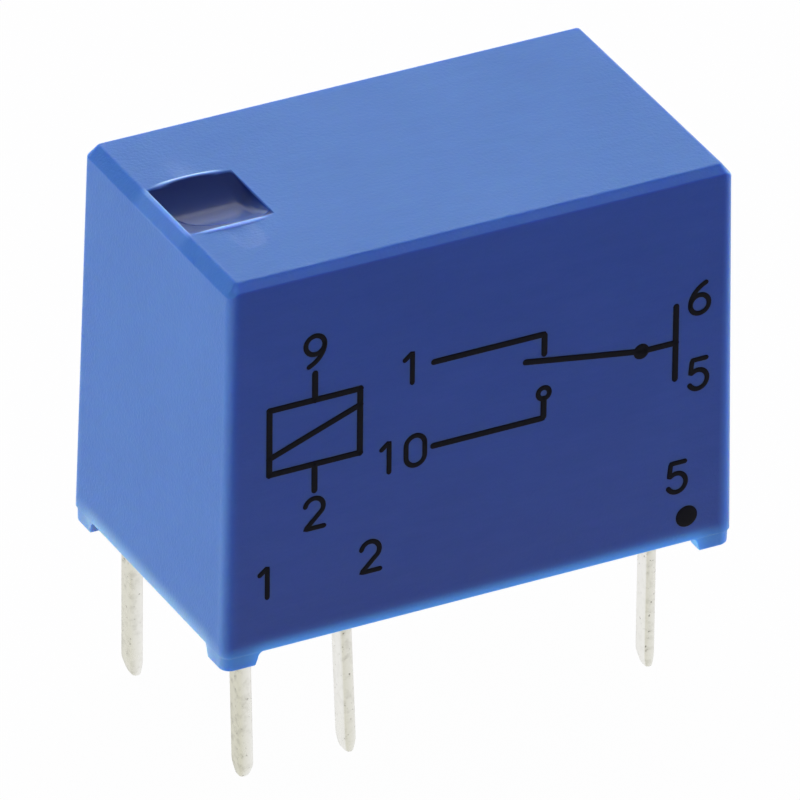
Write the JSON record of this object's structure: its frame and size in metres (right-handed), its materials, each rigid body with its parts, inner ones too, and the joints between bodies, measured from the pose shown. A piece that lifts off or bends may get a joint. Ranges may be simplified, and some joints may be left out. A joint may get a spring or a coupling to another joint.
{
  "type": "signal relay",
  "caption": "Small sealed changeover relay: drafted blue plastic cover on corner feet, flat tapered pins below, clapper armature, coil and contacts inside.",
  "frame": {"origin": "middle of the 2.54 mm pin grid, in the plane where the feet meet the board", "axes": "+X along the long side from the contact pins to the common pins, -Y out of the printed side, +Z away from the board"},
  "size_m": [0.0126, 0.0074, 0.0133],
  "materials": {
    "cover_plastic": "fine moulded texture, slightly translucent at its edges",
    "epoxy_resin": "poured epoxy, glossy with a drawn-up rim",
    "base_plastic": "moulded glass-filled polyester",
    "bobbin_plastic": "moulded natural polyester",
    "enamelled_copper": "enamelled copper wire",
    "plated_iron": "nickel-plated soft iron",
    "spring_bronze": "rolled phosphor bronze",
    "contact_silver": "silver alloy",
    "rivet_steel": "plated steel",
    "tinned_terminal": "hot-tinned copper alloy, satin with small pits",
    "solder_tin": "solder"
  },
  "bodies": {
    "housing": {"cover": "cover_plastic", "sealing_resin": "epoxy_resin", "base": "base_plastic", "bobbin": "bobbin_plastic", "winding": "enamelled_copper", "core": "plated_iron", "yoke": "plated_iron", "spring_rivets": "rivet_steel", "terminal_rivets": "rivet_steel", "normally_closed_terminal": "tinned_terminal", "normally_open_terminal": "tinned_terminal", "normally_closed_contact": "contact_silver", "normally_open_contact": "contact_silver", "coil_terminal_front": "tinned_terminal", "coil_terminal_rear": "tinned_terminal", "common_terminal": "tinned_terminal", "coil_lead_front": "enamelled_copper", "coil_lead_rear": "enamelled_copper", "solder_front": "solder_tin", "solder_rear": "solder_tin"},
    "armature": {"armature": "plated_iron", "moving_spring": "spring_bronze", "moving_contact": "contact_silver", "armature_rivets": "rivet_steel"}
  },
  "joints": [
    {"name": "armature_rock", "type": "hinge", "parent": "housing", "child": "armature", "pos_m": [0.00493, 0, 0.00676], "axis": [0, -1, 0], "range_deg": [0, 3], "stiffness_Nm_per_rad": 0.005, "springref_deg": -2.86, "deforming": ["moving_spring"]}
  ]
}
